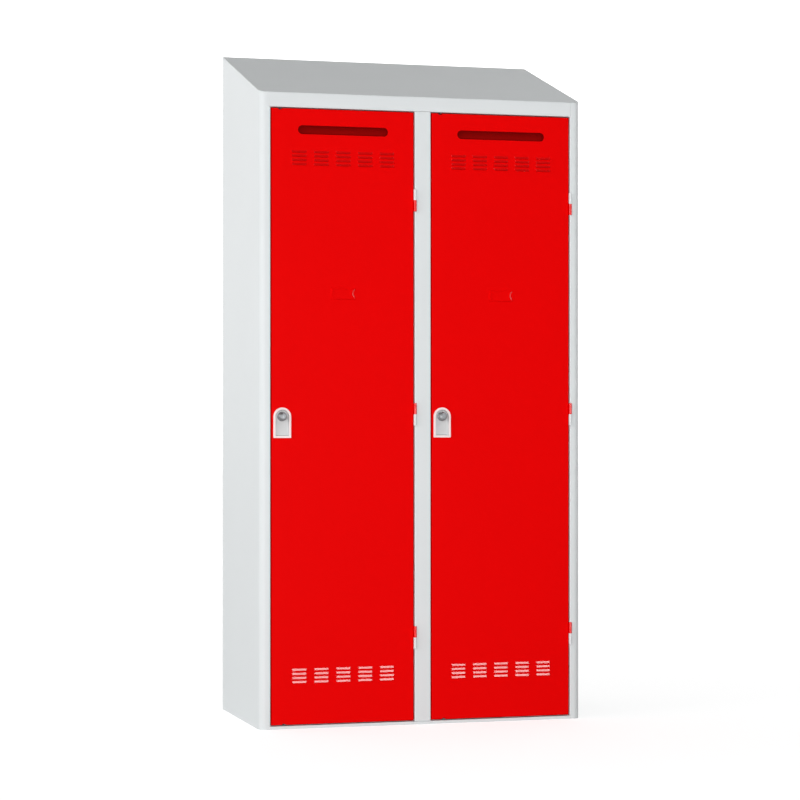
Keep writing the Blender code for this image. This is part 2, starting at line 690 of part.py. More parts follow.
def hinge_halves(side, hinge, number, centre, door_side, paint, door_paint):
    """One lift-off hinge; door_side is 1 where the door's half is the upper one and -1 where the lower."""
    leaf = DOOR_GAP - 4 * SEAM
    bore = PIN_RADIUS + SEAM
    leaf_front = bore + SEAM
    leaf_back = DOOR_FRONT + LEAF_DEPTH

    def leaf_box(left, start, end):
        low = min(start, end) + LEAF_INSET
        high = max(start, end) - LEAF_INSET
        return box((left, leaf_front, low), (left + leaf, leaf_back, high))

    start = centre + door_side * SEAM / 2
    end = start + door_side * KNUCKLE_LENGTH
    tube = [(bore, start), (KNUCKLE_RADIUS, start), (KNUCKLE_RADIUS, end), (bore, end)]
    sleeve = turned(tube, "Z", PIN_SIDES, ring=True)
    half = add(f"{side}_hinge_{number}_door_half", sleeve, door_paint, hinge)
    join(half, leaf_box(DOOR_RIGHT + SEAM, start, end))

    start = centre - door_side * SEAM / 2
    end = start - door_side * KNUCKLE_LENGTH
    pin_end = start + door_side * PIN_LENGTH
    knuckle = [
        (0, pin_end),
        (PIN_RADIUS, pin_end),
        (PIN_RADIUS, start),
        (KNUCKLE_RADIUS, start),
        (KNUCKLE_RADIUS, end),
        (0, end),
    ]
    axis = (HINGE_AXIS_X[side], HINGE_AXIS_Y, 0)
    half = add(f"{side}_hinge_{number}_frame_half", turned(knuckle, "Z", PIN_SIDES), paint, location=axis)
    join(half, leaf_box(DOOR_RIGHT + DOOR_GAP - SEAM - leaf, start, end))


# Locks

def lock_cup(side, hinge, cast):
    rim_inner = LOCK_RIM + LOCK_SLOPE
    steps = [
        (LOCK_FLANGE + LOCK_WALL, CUP_BACK),
        (LOCK_FLANGE, CUP_BACK - LOCK_WALL),
        (LOCK_FLANGE, -SEAM),
        (0, -SEAM),
        (0, LOCK_EDGE - LOCK_PROUD),
        (LOCK_EDGE, -LOCK_PROUD),
        (LOCK_RIM, -LOCK_PROUD),
        (rim_inner, LOCK_DISH),
    ]
    loops = [[(x, y, z) for x, z in arch(inset)] for inset, y in steps]
    cup = add(f"{side}_lock_cup", loft(loops), cast, hinge, (LOCK_X, DOOR_FRONT, LOCK_Z))
    overlap = CUP_BACK - LOCK_WALL / 2
    sleeve = [(0, overlap), (SLEEVE_RADIUS, overlap), (SLEEVE_RADIUS, SLEEVE_BACK), (0, SLEEVE_BACK)]
    join(cup, turned(sleeve, "Y", ROUND_SIDES))
    past = (LOCK_DISH - LOCK_WALL, SLEEVE_BACK + LOCK_WALL)
    bore = [(0, past[0]), (SLEEVE_BORE, past[0]), (SLEEVE_BORE, past[1]), (0, past[1])]
    cut(cup, turned(bore, "Y", ROUND_SIDES))


def lock_clamp(side, hinge, zinc):
    foot_back = DOOR_SHEET + SEAM + CLAMP_SHEET
    leg = LOCK_WIDTH / 2 - LOCK_FLANGE + SEAM + CLAMP_SHEET
    end = leg + CLAMP_FOOT
    path = [
        (end, foot_back), (leg, foot_back), (leg, CLAMP_BACK),
        (-leg, CLAMP_BACK), (-leg, foot_back), (-end, foot_back),
    ]
    outline = folded_outline(path, CLAMP_SHEET, CLAMP_BEND)
    bridge = prism(outline, "Z", -CLAMP_HEIGHT / 2, CLAMP_HEIGHT / 2)
    clamp = add(f"{side}_lock_clamp", bridge, zinc, hinge, (LOCK_X, DOOR_FRONT, LOCK_Z))
    hole = SLEEVE_RADIUS + SEAM
    cut(clamp, turned([(0, 0), (hole, 0), (hole, NUT_BACK), (0, NUT_BACK)], "Y", ROUND_SIDES))


def lock_nut(side, hinge, zinc):
    corner = NUT_ACROSS_FLATS / 2 / cos(pi / 6)
    hexagon = arc((0, 0), corner, 0, 5 * pi / 3, 5)
    nut = add(
        f"{side}_lock_nut", prism(hexagon, "Y", NUT_BACK - NUT_THICKNESS, NUT_BACK), zinc, hinge,
        (LOCK_X, DOOR_FRONT, LOCK_Z),
    )
    hole = SLEEVE_RADIUS + SEAM
    cut(nut, turned([(0, 0), (hole, 0), (hole, SLEEVE_BACK), (0, SLEEVE_BACK)], "Y", ROUND_SIDES))


def lock_knob(side, axis, chrome):
    seat = LOCK_DISH - SEAM
    profile = [
        (0, -KNOB_REACH),
        (KNOB_RADIUS - KNOB_EDGE, -KNOB_REACH),
        (KNOB_RADIUS, KNOB_EDGE - KNOB_REACH),
        (KNOB_RADIUS, -LOCK_PROUD),
        (KNOB_NECK_RADIUS, seat - 2 * KNOB_COLLAR),
        (KNOB_COLLAR_RADIUS, seat - KNOB_COLLAR),
        (KNOB_COLLAR_RADIUS, seat),
        (SPINDLE_RADIUS, seat),
        (SPINDLE_RADIUS, SLEEVE_BACK),
        (0, SLEEVE_BACK),
    ]
    knob = add(f"{side}_lock_knob", turned(profile, "Y", ROUND_SIDES), chrome, axis)
    half = SPINDLE_SQUARE / 2
    join(knob, box((-half, SLEEVE_BACK - SEAM, -half), (half, CAM_BACK + SEAM, half)))
    half_slot = (KEY_SLOT_WIDTH / 2, KEY_SLOT_LENGTH / 2)
    key_slot = rectangle((-half_slot[0], -half_slot[1]), half_slot)
    cut(knob, prism(key_slot, "Y", -KNOB_REACH - KEY_SLOT_DEPTH, KEY_SLOT_DEPTH - KNOB_REACH))


def lock_cam(side, axis, zinc):
    """Keyhole-shaped plate with its tongue hanging down, and a pin for each rod on its back."""
    half = TONGUE_WIDTH / 2
    swing = atan2(half, sqrt(CAM_HUB_RADIUS ** 2 - half ** 2))
    outline = [
        *arc((0, 0), CAM_HUB_RADIUS, swing - pi / 2, 3 * pi / 2 - swing, ARC_STEPS),
        *arc((0, half - TONGUE_LENGTH), half, pi, 2 * pi, ARC_STEPS),
    ]
    cam = add(f"{side}_lock_cam", prism(outline, "Y", CAM_FRONT, CAM_BACK), zinc, axis)
    hole = SPINDLE_SQUARE / 2 + SEAM
    cut(cam, prism(rectangle((-hole, -hole), (hole, hole)), "Y", CAM_FRONT - SEAM, CAM_BACK + SEAM))
    pins = bmesh.new()
    for sign in (-1, 1):
        circle = arc((sign * CRANK_START, sign * CRANK_START), ROD_PIN_RADIUS, 0, 2 * pi, PIN_SIDES)[1:]
        prism(circle, "Y", CAM_BACK - CAM_SHEET / 2, ROD_BACK + SEAM, pins)
    join(cam, pins)


def locking_rod(name, hinge, sign, tip, zinc):
    """Flat rod from a cam pin to the door's edge; sign is -1 for the upper rod and 1 for the lower."""
    pin = sign * CRANK_START
    end = pin + sign * (ROD_SLOT_HALF_HEIGHT + ROD_WALL)
    near = sign * ROD_NEAR
    far = sign * ROD_FAR
    shoulder = tip + sign * ROD_CHAMFER
    bevel = sign * ROD_CHAMFER
    outline = [
        (near, end), (near, shoulder), (near + bevel, tip), (far - bevel, tip), (far, shoulder), (far, end),
    ]
    rod = add(name, prism(outline, "Y", ROD_FRONT, ROD_BACK), zinc, hinge, (LOCK_X, DOOR_FRONT, LOCK_Z))
    edges = sorted((sign * ROD_SLOT_NEAR, sign * ROD_SLOT_FAR))
    slot = rectangle((edges[0], pin - ROD_SLOT_HALF_HEIGHT), (edges[1], pin + ROD_SLOT_HALF_HEIGHT))
    cut(rod, prism(slot, "Y", ROD_FRONT - SEAM, ROD_BACK + SEAM))


def rod_guide(name, hinge, sign, height, plastic):
    """Clip on the door's skin that a rod slides in, open at its back."""
    foot = DOOR_SHEET + SEAM
    channel = ROD_HALF_WIDTH + PLAY
    outer = channel + GUIDE_WALL
    mouth = channel - GUIDE_LIP
    floor = ROD_FRONT - PLAY
    ceiling = ROD_BACK + PLAY
    back = ceiling + GUIDE_LIP
    outline = [
        (-outer, foot), (outer, foot), (outer, back), (mouth, back), (mouth, ceiling),
        (channel, ceiling), (channel, floor), (-channel, floor), (-channel, ceiling),
        (-mouth, ceiling), (-mouth, back), (-outer, back),
    ]
    solid = prism(outline, "Z", -GUIDE_LENGTH / 2, GUIDE_LENGTH / 2)
    add(name, solid, plastic, hinge, (LOCK_X + sign * ROD_CENTRE, DOOR_FRONT, height))


# The whole locker

def build():
    for old in list(bpy.data.objects):
        bpy.data.objects.remove(old)

    grey_paint = material("grey_powder_coat", (218, 222, 223), 0.45, 0)
    red_paint = material("red_powder_coat", (229, 3, 4), 0.35, 0)
    cast_metal = material("lacquered_zinc_casting", (215, 215, 216), 0.35, 0)
    satin_chrome = material("satin_chrome", (150, 152, 154), 0.3, 1)
    zinc_plate = material("zinc_plated_steel", (176, 178, 180), 0.35, 1)
    black_zinc = material("black_zinc_plated_steel", (58, 58, 60), 0.45, 1)
    chrome = material("chromed_tube", (215, 217, 219), 0.15, 1)
    black_nylon = material("black_nylon", (32, 32, 34), 0.55, 0)
    rubber = material("black_rubber", (24, 24, 24), 0.8, 0)

    side_panels(grey_paint)
    centre_stile(grey_paint)
    front_rails(grey_paint)
    flat_panels(grey_paint)

    wall = WIDTH / 2 - SHEET - SEAM
    middle = SHEET / 2 + SEAM
    compartment("left", -wall, -middle, grey_paint, chrome, zinc_plate, black_nylon)
    compartment("right", middle, wall, grey_paint, chrome, zinc_plate, black_nylon)

    hinges = [
        ("top", DOOR_TOP - TOP_HINGE_DROP, -1),
        ("middle", LOCK_Z + MIDDLE_HINGE_RISE, 1),
        ("bottom", DOOR_BOTTOM + BOTTOM_HINGE_RISE, 1),
    ]
    for side, axis_x in HINGE_AXIS_X.items():
        hinge = empty(f"{side}_door_hinge_axis", (axis_x, HINGE_AXIS_Y, 0))
        axis = empty(f"{side}_lock_axis", (LOCK_X, DOOR_FRONT, LOCK_Z), hinge)
        door_buffer(side, rubber)
        door_panel(side, hinge, red_paint)
        door_fittings(side, hinge, red_paint)
        for number, centre, door_side in hinges:
            hinge_halves(side, hinge, number, centre, door_side, grey_paint, red_paint)
        lock_cup(side, hinge, cast_metal)
        lock_clamp(side, hinge, zinc_plate)
        lock_nut(side, hinge, zinc_plate)
        lock_knob(side, axis, satin_chrome)
        lock_cam(side, axis, zinc_plate)
        locking_rod(f"{side}_upper_rod", hinge, -1, DOOR_TOP + ROD_TIP - LOCK_Z, black_zinc)
        locking_rod(f"{side}_lower_rod", hinge, 1, DOOR_BOTTOM - ROD_TIP - LOCK_Z, black_zinc)
        rod_guide(f"{side}_upper_rod_guide", hinge, -1, DOOR_TOP - GUIDE_INSET, black_nylon)
        rod_guide(f"{side}_lower_rod_guide", hinge, 1, DOOR_BOTTOM + GUIDE_INSET, black_nylon)


build()
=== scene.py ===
"""Looks of the two-door locker: pressed, turned and cast pieces and their finishes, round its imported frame.

Lengths are in metres. Places come from the frame's nodes and joints, and the sizes that those don't give
are named below. Every mesh is made where it stands, so a pattern in object coordinates is in real size.
"""

import json
from math import acos, atan2, cos, pi, radians, sin, tan

import bmesh
import bpy
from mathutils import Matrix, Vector


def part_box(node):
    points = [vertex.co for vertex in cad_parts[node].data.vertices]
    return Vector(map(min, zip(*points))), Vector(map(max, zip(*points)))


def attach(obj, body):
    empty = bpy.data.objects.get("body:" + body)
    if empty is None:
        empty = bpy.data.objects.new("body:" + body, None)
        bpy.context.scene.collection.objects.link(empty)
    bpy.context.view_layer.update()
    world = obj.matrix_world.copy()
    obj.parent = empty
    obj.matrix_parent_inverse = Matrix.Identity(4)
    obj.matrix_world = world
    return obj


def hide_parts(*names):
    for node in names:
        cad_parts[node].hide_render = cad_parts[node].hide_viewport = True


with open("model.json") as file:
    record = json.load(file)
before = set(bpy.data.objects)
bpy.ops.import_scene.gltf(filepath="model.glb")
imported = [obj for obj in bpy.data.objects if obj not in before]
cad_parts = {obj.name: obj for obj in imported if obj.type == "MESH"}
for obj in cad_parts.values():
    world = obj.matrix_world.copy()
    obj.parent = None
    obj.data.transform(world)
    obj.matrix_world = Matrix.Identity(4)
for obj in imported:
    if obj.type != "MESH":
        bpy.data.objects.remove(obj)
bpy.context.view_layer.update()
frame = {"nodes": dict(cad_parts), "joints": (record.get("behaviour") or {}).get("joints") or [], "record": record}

MM = 0.001

# Sheet metal
SHEET = 1 * MM
SEAM = 0.3 * MM
SHEET_BEND = 1.5 * MM
SHEET_EASE = 0.25 * MM
PLATE_EASE = 0.4 * MM
CORNER_BEND = 19 * MM
SIDE_STILE = 32 * MM
BEND_STEPS = 8

# Doors
DOOR_DEPTH = 20 * MM
DOOR_LIP = 12 * MM
DOOR_BEND = 2 * MM
SLOT_LENGTH = 264 * MM
SLOT_HEIGHT = 25 * MM
SLOT_DROP = 59.5 * MM
LABEL_EASE = 0.6 * MM
LABEL_BORDER = 4 * MM
LABEL_RECESS = 1.4 * MM
LABEL_END = 11 * MM
NOTCH_HEIGHT = 20 * MM
NOTCH_DEPTH = 5 * MM
NOTCH_SLOPE = 4.2 * MM

# Louvres
VENT_COLUMNS = 5
VENT_ROWS = 4
VENT_LENGTH = 42.5 * MM
VENT_PITCH = 64.4 * MM
VENT_ROW_PITCH = 11.7 * MM
VENT_EDGE = 138.5 * MM
VENT_GAP = 0.1 * MM
HOOD_HEIGHT = 6.2 * MM
HOOD_REACH = 3.5 * MM
HOOD_END = 1.5 * MM
HOOD_CROWN = 0.4 * MM
HOOD_SINK = 0.06 * MM
HOOD_STEPS = 6
WINDOW_MARGIN = 1 * MM

# Hinges
KNUCKLE_RADIUS = 4.5 * MM
KNUCKLE_EASE = 0.6 * MM
PIN_RADIUS = 2.5 * MM
PIN_PLAY = 0.3 * MM
PIN_LENGTH = 28 * MM
LEAF = 1.8 * MM
LEAF_INSET = 1 * MM
DOOR_LEAF_LEFT = -2.7 * MM
FRAME_LEAF_LEFT = -2.1 * MM

# Locks
LOCK_RIM = 6.2 * MM
LOCK_SLOPE = 1.8 * MM
LOCK_DISH = 3 * MM
LOCK_WALL = 1.5 * MM
LOCK_FOOT_RADIUS = 2 * MM
LOCK_INNER_RADIUS = 1 * MM
RIM_OUTER_EASE = 1.6 * MM
RIM_INNER_EASE = 1 * MM
DISH_EASE = 2 * MM
SLEEVE_RADIUS = 9 * MM
SLEEVE_BORE = 6.3 * MM
KNOB_RADIUS = 11.8 * MM
KNOB_REACH = 16 * MM
KNOB_EASE = 2.5 * MM
KNOB_CONE = 2.4 * MM
KNOB_NECK_RADIUS = 9 * MM
KNOB_COLLAR_RADIUS = 13.5 * MM
KNOB_COLLAR = 2 * MM
PLUG_RADIUS = 6 * MM
PLUG_GROOVE = 0.5 * MM
KEY_SLOT_LENGTH = 8 * MM
KEY_SLOT_WIDTH = 1.6 * MM
KEY_SLOT_DEPTH = 3 * MM
SPINDLE_RADIUS = 6 * MM
SPINDLE_SQUARE = 5 * MM
ROD_PLAY = 0.5 * MM

# Inside fittings
RAIL_WALL = 1.2 * MM
SOCKET_WALL = 2.5 * MM
SOCKET_EASE = 0.7 * MM
BUFFER_EASE = 1.2 * MM

# Smoothness
ROUND_SIDES = 64
ARC_STEPS = 24
EDGE_STEPS = 6
EASE_STEPS = 4
EASE_SEGMENTS = 2
ROUND_PROFILE = 0.5
WELD = 0.001 * MM
FLAT = radians(1)
SHARP = radians(35)
CORNER = radians(50)
GRAIN_STRENGTH = 0.3

RECORD = frame["record"]
BODY_OF = {node: body for body, nodes in RECORD["behaviour"]["bodies"].items() for node in nodes}
SLOT_OF = {part["node"]: part["material_slot"] for part in RECORD["subparts"]}
AXIS_AT = {joint["name"]: Vector(joint["pos_m"]) for joint in frame["joints"] if "pos_m" in joint}
SIDES = ("left", "right")


# Finishes

def linear(hex_colour):
    """An sRGB hex colour as linear red, green, blue and alpha."""
    channels = [int(hex_colour[start:start + 2], 16) / 255 for start in (1, 3, 5)]
    return (*(c / 12.92 if c <= 0.04045 else ((c + 0.055) / 1.055) ** 2.4 for c in channels), 1)


def add_node(tree, kind, inputs=None, **settings):
    """Adds a node; an input that is given a socket is linked to it, any other is set to the value."""
    made = tree.nodes.new(kind)
    for name, value in settings.items():
        setattr(made, name, value)
    for name, value in (inputs or {}).items():
        if isinstance(value, bpy.types.NodeSocket):
            tree.links.new(value, made.inputs[name])
        else:
            made.inputs[name].default_value = value
    return made


def new_finish(name):
    """A new material, its nodes, its shader and the place on the piece in metres."""
    made = bpy.data.materials.new(name)
    made.use_nodes = True
    tree = made.node_tree
    place = add_node(tree, "ShaderNodeTexCoord").outputs["Object"]
    return made, tree, tree.nodes["Principled BSDF"], place


def powder_coat(name, light, dark, roughness, specular, peel_depth):
    """Polyester powder baked on steel sheet: an even colour with a soft sheen over a fine orange peel.

    The eye gets slow drifts of shade from the spray pattern and a broken edge to every reflection. Real
    peel is about 1.5 mm across and is drawn at 3 mm so that it shows.
    """
    made, tree, shader, place = new_finish(name)
    drift_size = 260 * MM
    peel_size = 3 * MM
    peel_strength = 0.4
    sheen_swing = 0.05
    drift = add_node(tree, "ShaderNodeTexNoise", {"Vector": place, "Scale": 1 / drift_size, "Detail": 2})
    peel = add_node(tree, "ShaderNodeTexNoise", {"Vector": place, "Scale": 1 / peel_size, "Detail": 1})
    shade = add_node(
        tree, "ShaderNodeMix", {0: drift.outputs[0], 6: linear(light), 7: linear(dark)}, data_type="RGBA",
    )
    sheen = add_node(
        tree, "ShaderNodeMapRange",
        {"Value": peel.outputs[0], "To Min": roughness - sheen_swing, "To Max": roughness + sheen_swing},
    )
    bump = add_node(
        tree, "ShaderNodeBump",
        {"Height": peel.outputs[0], "Strength": peel_strength, "Distance": peel_depth},
    )
    tree.links.new(shade.outputs[2], shader.inputs["Base Color"])
    tree.links.new(sheen.outputs[0], shader.inputs["Roughness"])
    tree.links.new(bump.outputs[0], shader.inputs["Normal"])
    shader.inputs["Specular IOR Level"].default_value = specular
    return made


def plated_metal(name, light, dark, roughness, cloud_size, grain_size, grain_depth):
    """Plated metal: a mirror broken by grain, with cloudy patches of colour: uneven plate on the zinc and the
    rails, and painted reflections of the room on the knobs.
    """
    made, tree, shader, place = new_finish(name)
    haze_swing = 0.25
    cloud = add_node(tree, "ShaderNodeTexNoise", {"Vector": place, "Scale": 1 / cloud_size, "Detail": 3})
    grain = add_node(tree, "ShaderNodeTexNoise", {"Vector": place, "Scale": 1 / grain_size, "Detail": 2})
    shade = add_node(
        tree, "ShaderNodeMix", {0: cloud.outputs[0], 6: linear(light), 7: linear(dark)}, data_type="RGBA",
    )
    haze = add_node(
        tree, "ShaderNodeMapRange",
        {"Value": cloud.outputs[0],
         "To Min": roughness * (1 - haze_swing), "To Max": roughness * (1 + haze_swing)},
    )
    bump = add_node(
        tree, "ShaderNodeBump",
        {"Height": grain.outputs[0], "Strength": GRAIN_STRENGTH, "Distance": grain_depth},
    )
    tree.links.new(shade.outputs[2], shader.inputs["Base Color"])
    tree.links.new(haze.outputs[0], shader.inputs["Roughness"])
    tree.links.new(bump.outputs[0], shader.inputs["Normal"])
    shader.inputs["Metallic"].default_value = 1
    return made


def moulded(name, light, dark, roughness, grain_size, grain_depth):
    """Moulded plastic, rubber or lacquered casting: the grain of its mould softens every highlight."""
    made, tree, shader, place = new_finish(name)
    cloud_size = 25 * grain_size
    sheen_swing = 0.06
    grain = add_node(tree, "ShaderNodeTexVoronoi", {"Vector": place, "Scale": 1 / grain_size})
    cloud = add_node(tree, "ShaderNodeTexNoise", {"Vector": place, "Scale": 1 / cloud_size, "Detail": 2})
    shade = add_node(
        tree, "ShaderNodeMix", {0: cloud.outputs[0], 6: linear(light), 7: linear(dark)}, data_type="RGBA",
    )
    sheen = add_node(
        tree, "ShaderNodeMapRange",
        {"Value": cloud.outputs[0], "To Min": roughness - sheen_swing, "To Max": roughness + sheen_swing},
    )
    bump = add_node(
        tree, "ShaderNodeBump",
        {"Height": grain.outputs[0], "Strength": GRAIN_STRENGTH, "Distance": grain_depth},
    )
    tree.links.new(shade.outputs[2], shader.inputs["Base Color"])
    tree.links.new(sheen.outputs[0], shader.inputs["Roughness"])
    tree.links.new(bump.outputs[0], shader.inputs["Normal"])
    return made


# Light grey satin coat of the carcass: pale, slightly cool, never quite white
GREY_COAT = powder_coat("grey_powder_coat", "#D9DDDE", "#D5D9DA", 0.45, 0.4, 0.05 * MM)
# Red coat of the flat doors: saturated and nearly matt, so the white room hardly greys it
RED_COAT = powder_coat("red_powder_coat", "#E60203", "#E20203", 0.5, 0.02, 0.05 * MM)
# The same red on small parts, where it flowed out smooth: glossier, so their edges glint
RED_GLOSS = powder_coat("red_powder_coat_on_small_parts", "#E60203", "#E20203", 0.2, 0.5, 0.005 * MM)
# The same red on the pressed louvres, painted a shade deeper as painted shade on the hood bars, and glossy, so the
# slopes mirror the lamp
RED_LOUVRE_PAINTED_SHADE = powder_coat("red_powder_coat_on_louvres_painted_shade", "#D20203", "#CE0203", 0.12, 0.8, 0.002 * MM)
# The door red darkened to a deep maroon on the baffle behind the slot: painted shade of the hollow
RED_HOLLOW_PAINTED_SHADE = powder_coat("red_powder_coat_painted_hollow_shade", "#8E0403", "#860403", 0.6, 0.02, 0.05 * MM)
# Lacquered zinc casting of the lock cups: pale, even grey
CAST_LACQUER = moulded("lacquered_zinc_casting", "#CBCBCB", "#C2C2C3", 0.42, 0.9 * MM, 0.02 * MM)
# The same casting painted nearly white on the rim as a painted highlight, tinted pink as a painted reflection of
# the red round it
RIM_PAINTED_HIGHLIGHT = moulded("lacquered_rim_painted_highlight", "#F3DFDE", "#EEDAD9", 0.3, 0.9 * MM, 0.005 * MM)
# Satin chrome on the knobs, painted dark with dark and light patches: painted reflections of the room
SATIN_CHROME_PAINTED_REFLECTION = plated_metal("satin_chrome_painted_reflections", "#9D9FA1", "#535558", 0.3, 7 * MM, 0.6 * MM, 0.01 * MM)
# Black-passivated zinc of the locking rods: dark, dull metal
BLACK_ZINC = plated_metal("black_passivated_zinc", "#3A3A3C", "#2C2C2E", 0.45, 14 * MM, 0.8 * MM, 0.02 * MM)
# Bright zinc on cams, nuts and hooks: cloudy blue-grey metal
ZINC_PLATE = plated_metal("bright_zinc_plate", "#BFC2C4", "#A2A6A9", 0.36, 14 * MM, 0.8 * MM, 0.02 * MM)
# Polished chrome on the clothes rails: long clean reflections
CHROME = plated_metal("polished_chrome", "#DADCDD", "#CFD2D4", 0.12, 40 * MM, 2 * MM, 0.005 * MM)
# Moulded black nylon of sockets and rod guides: soft dull highlights
NYLON = moulded("moulded_black_nylon", "#2A2A2C", "#1D1D1F", 0.5, 0.8 * MM, 0.03 * MM)
# Black rubber of the door buffers: matt, slightly dusty
RUBBER = moulded("black_rubber", "#1C1C1C", "#141414", 0.8, 0.6 * MM, 0.03 * MM)

FINISH_OF = {
    "grey_paint": GREY_COAT,
    "red_paint": RED_COAT,
    "lock_metal": CAST_LACQUER,
    # The knobs' chrome carries painted reflections
    "satin_chrome": SATIN_CHROME_PAINTED_REFLECTION,
    "black_zinc": BLACK_ZINC,
    "zinc_plate": ZINC_PLATE,
    "chrome_tube": CHROME,
    "black_nylon": NYLON,
    "black_rubber": RUBBER,
}


# Outlines and solids

def arc(centre, radius, start, end, steps):
    """Points along an arc between two angles, both ends included."""
    turns = [start + (end - start) * step / steps for step in range(steps + 1)]
    return [(centre[0] + radius * cos(turn), centre[1] + radius * sin(turn)) for turn in turns]


def rounded(corners, steps=EASE_STEPS):
    """An open outline with its inner corners eased by arcs.

    Each corner is given as two coordinates and a radius.
    """
    outline = [corners[0][:2]]
    for before, here, after in zip(corners, corners[1:], corners[2:]):
        point = Vector(here[:2])
        arrive = (point - Vector(before[:2])).normalized()
        leave = (Vector(after[:2]) - point).normalized()
        angle = atan2(arrive.cross(leave), arrive.dot(leave))
        if here[2] == 0:
            outline.append(here[:2])
            continue
        start = point - arrive * here[2] * tan(abs(angle) / 2)
        turning = 1 if angle > 0 else -1
        centre = start + Vector((-arrive.y, arrive.x)) * turning * here[2]
        first = atan2(start.y - centre.y, start.x - centre.x)
        outline += arc(centre, here[2], first, first + angle, steps)
    return outline + [corners[-1][:2]]


def folded_sheet(path, sheet, bend):
    """Both sides of a sheet on the left of path, bent round at each corner.

    A corner with a third value is bent to that radius, and any other to bend.
    """
    points = [Vector(point[:2]) for point in path]
    near = []
    far = []
    for index, here in enumerate(points):
        arrive = (here - points[index - 1]).normalized() if index else None
        leave = (points[index + 1] - here).normalized() if index + 1 < len(points) else None
        heading = arrive or leave
        left = Vector((-heading.y, heading.x))
        if arrive is None or leave is None:
            near.append(here)
            far.append(here + left * sheet)
            continue
        angle = atan2(arrive.cross(leave), arrive.dot(leave))
        turning = 1 if angle > 0 else -1
        inside = path[index][2] if len(path[index]) > 2 else bend
        near_radius = inside + sheet if turning > 0 else inside
        far_radius = inside if turning > 0 else inside + sheet
        start = here - heading * near_radius * tan(abs(angle) / 2)
        centre = start + left * turning * near_radius
        first = atan2(start.y - centre.y, start.x - centre.x)
        near += arc(centre, near_radius, first, first + angle, BEND_STEPS)
        far += arc(centre, far_radius, first, first + angle, BEND_STEPS)
    return near, far


def along(axis, first, second, distance):
    """A point from two coordinates across an axis and one along it."""
    points = {
        "X": (distance, first, second),
        "Y": (first, distance, second),
        "Z": (first, second, distance),
    }
    return points[axis]


def loft(loops, ring=False, bm=None):
    """A solid skinned over closed loops of points, capped at both ends or else closed to a ring."""
    bm = bm or bmesh.new()
    rings = [[bm.verts.new(point) for point in loop] for loop in loops]
    pairs = list(zip(rings, rings[1:]))
    if ring:
        pairs.append((rings[-1], rings[0]))
    else:
        bm.faces.new(rings[0])
        bm.faces.new(rings[-1])
    for one, other in pairs:
        for index in range(len(one)):
            bm.faces.new((one[index - 1], one[index], other[index], other[index - 1]))
    return bm


def prism(outline, axis, start, end, bm=None):
    """A solid with one outline all along an axis."""
    return loft([[along(axis, *point, place) for point in outline] for place in (start, end)], bm=bm)


def box(low, high, bm=None):
    """A block between two opposite corners."""
    outline = [(low[0], low[1]), (high[0], low[1]), (high[0], high[1]), (low[0], high[1])]
    return prism(outline, "Z", low[2], high[2], bm)


def turned(profile, axis, centre, ring=False, bm=None):
    """A solid turned about axis through centre, from points of radius and distance along the axis."""
    turns = [2 * pi * side / ROUND_SIDES for side in range(ROUND_SIDES)]
    loops = []
    for radius, distance in profile:
        spokes = [along(axis, radius * cos(turn), radius * sin(turn), distance) for turn in turns]
        loops.append([Vector(spoke) + Vector(centre) for spoke in spokes])
    return loft(loops, ring, bm)


def strip(bm, one, other):
    """Faces between two rows of vertices."""
    for index in range(1, len(one)):
        bm.faces.new((one[index - 1], one[index], other[index], other[index - 1]))


def carve(bm, cutter):
    """What is left of a solid when the cutter's closed solids are taken out of it."""
    solids = []
    for part in (bm, cutter):
        bmesh.ops.recalc_face_normals(part, faces=part.faces)
        mesh = bpy.data.meshes.new("carving")
        part.to_mesh(mesh)
        part.free()
        solids.append(bpy.data.objects.new("carving", mesh))
        bpy.context.scene.collection.objects.link(solids[-1])
    blank, tool = solids
    modifier = blank.modifiers.new("cut", "BOOLEAN")
    modifier.operation = "DIFFERENCE"
    modifier.object = tool
    carved = bmesh.new()
    carved.from_mesh(blank.evaluated_get(bpy.context.evaluated_depsgraph_get()).data)
    for solid in solids:
        bpy.data.objects.remove(solid)
    return carved


def soften(bm, width):
    """Rounds the cut edges over, as tumbling and paint leave them."""
    bmesh.ops.recalc_face_normals(bm, faces=bm.faces)
    corners = [edge for edge in bm.edges if edge.is_manifold and edge.calc_face_angle() > CORNER]
    bmesh.ops.bevel(
        bm, geom=corners, offset=width, segments=EASE_SEGMENTS, profile=ROUND_PROFILE, affect="EDGES",
    )
    return bm


def show(bm, name, node, *finishes, replaces=True):
    """Makes a smooth-shaded piece that moves with the node's body and takes its slot, and its place."""
    bmesh.ops.recalc_face_normals(bm, faces=bm.faces)
    mesh = bpy.data.meshes.new(name)
    bm.to_mesh(mesh)
    bm.free()
    mesh.shade_smooth()
    mesh.set_sharp_from_angle(angle=SHARP)
    for finish in finishes or (FINISH_OF[SLOT_OF[node]],):
        mesh.materials.append(finish)
    piece = bpy.data.objects.new(name, mesh)
    bpy.context.scene.collection.objects.link(piece)
    even = piece.modifiers.new("even_normals", "WEIGHTED_NORMAL")
    even.keep_sharp = True
    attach(piece, BODY_OF[node])
    if replaces:
        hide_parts(node)
    return piece


def ease_edges(node, width, *finishes):
    """The node's own shape with its cut edges rounded over."""
    bm = bmesh.new()
    bm.from_mesh(frame["nodes"][node].data)
    bmesh.ops.remove_doubles(bm, verts=bm.verts, dist=WELD)
    bmesh.ops.dissolve_limit(bm, angle_limit=FLAT, verts=bm.verts, edges=bm.edges)
    show(soften(bm, width), f"{node}_eased", node, *finishes)


# Carcass

def roof_underside(y):
    low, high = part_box("sloping_roof")
    return low.z + (high.z - SHEET - low.z) * (y - low.y) / (high.y - low.y)


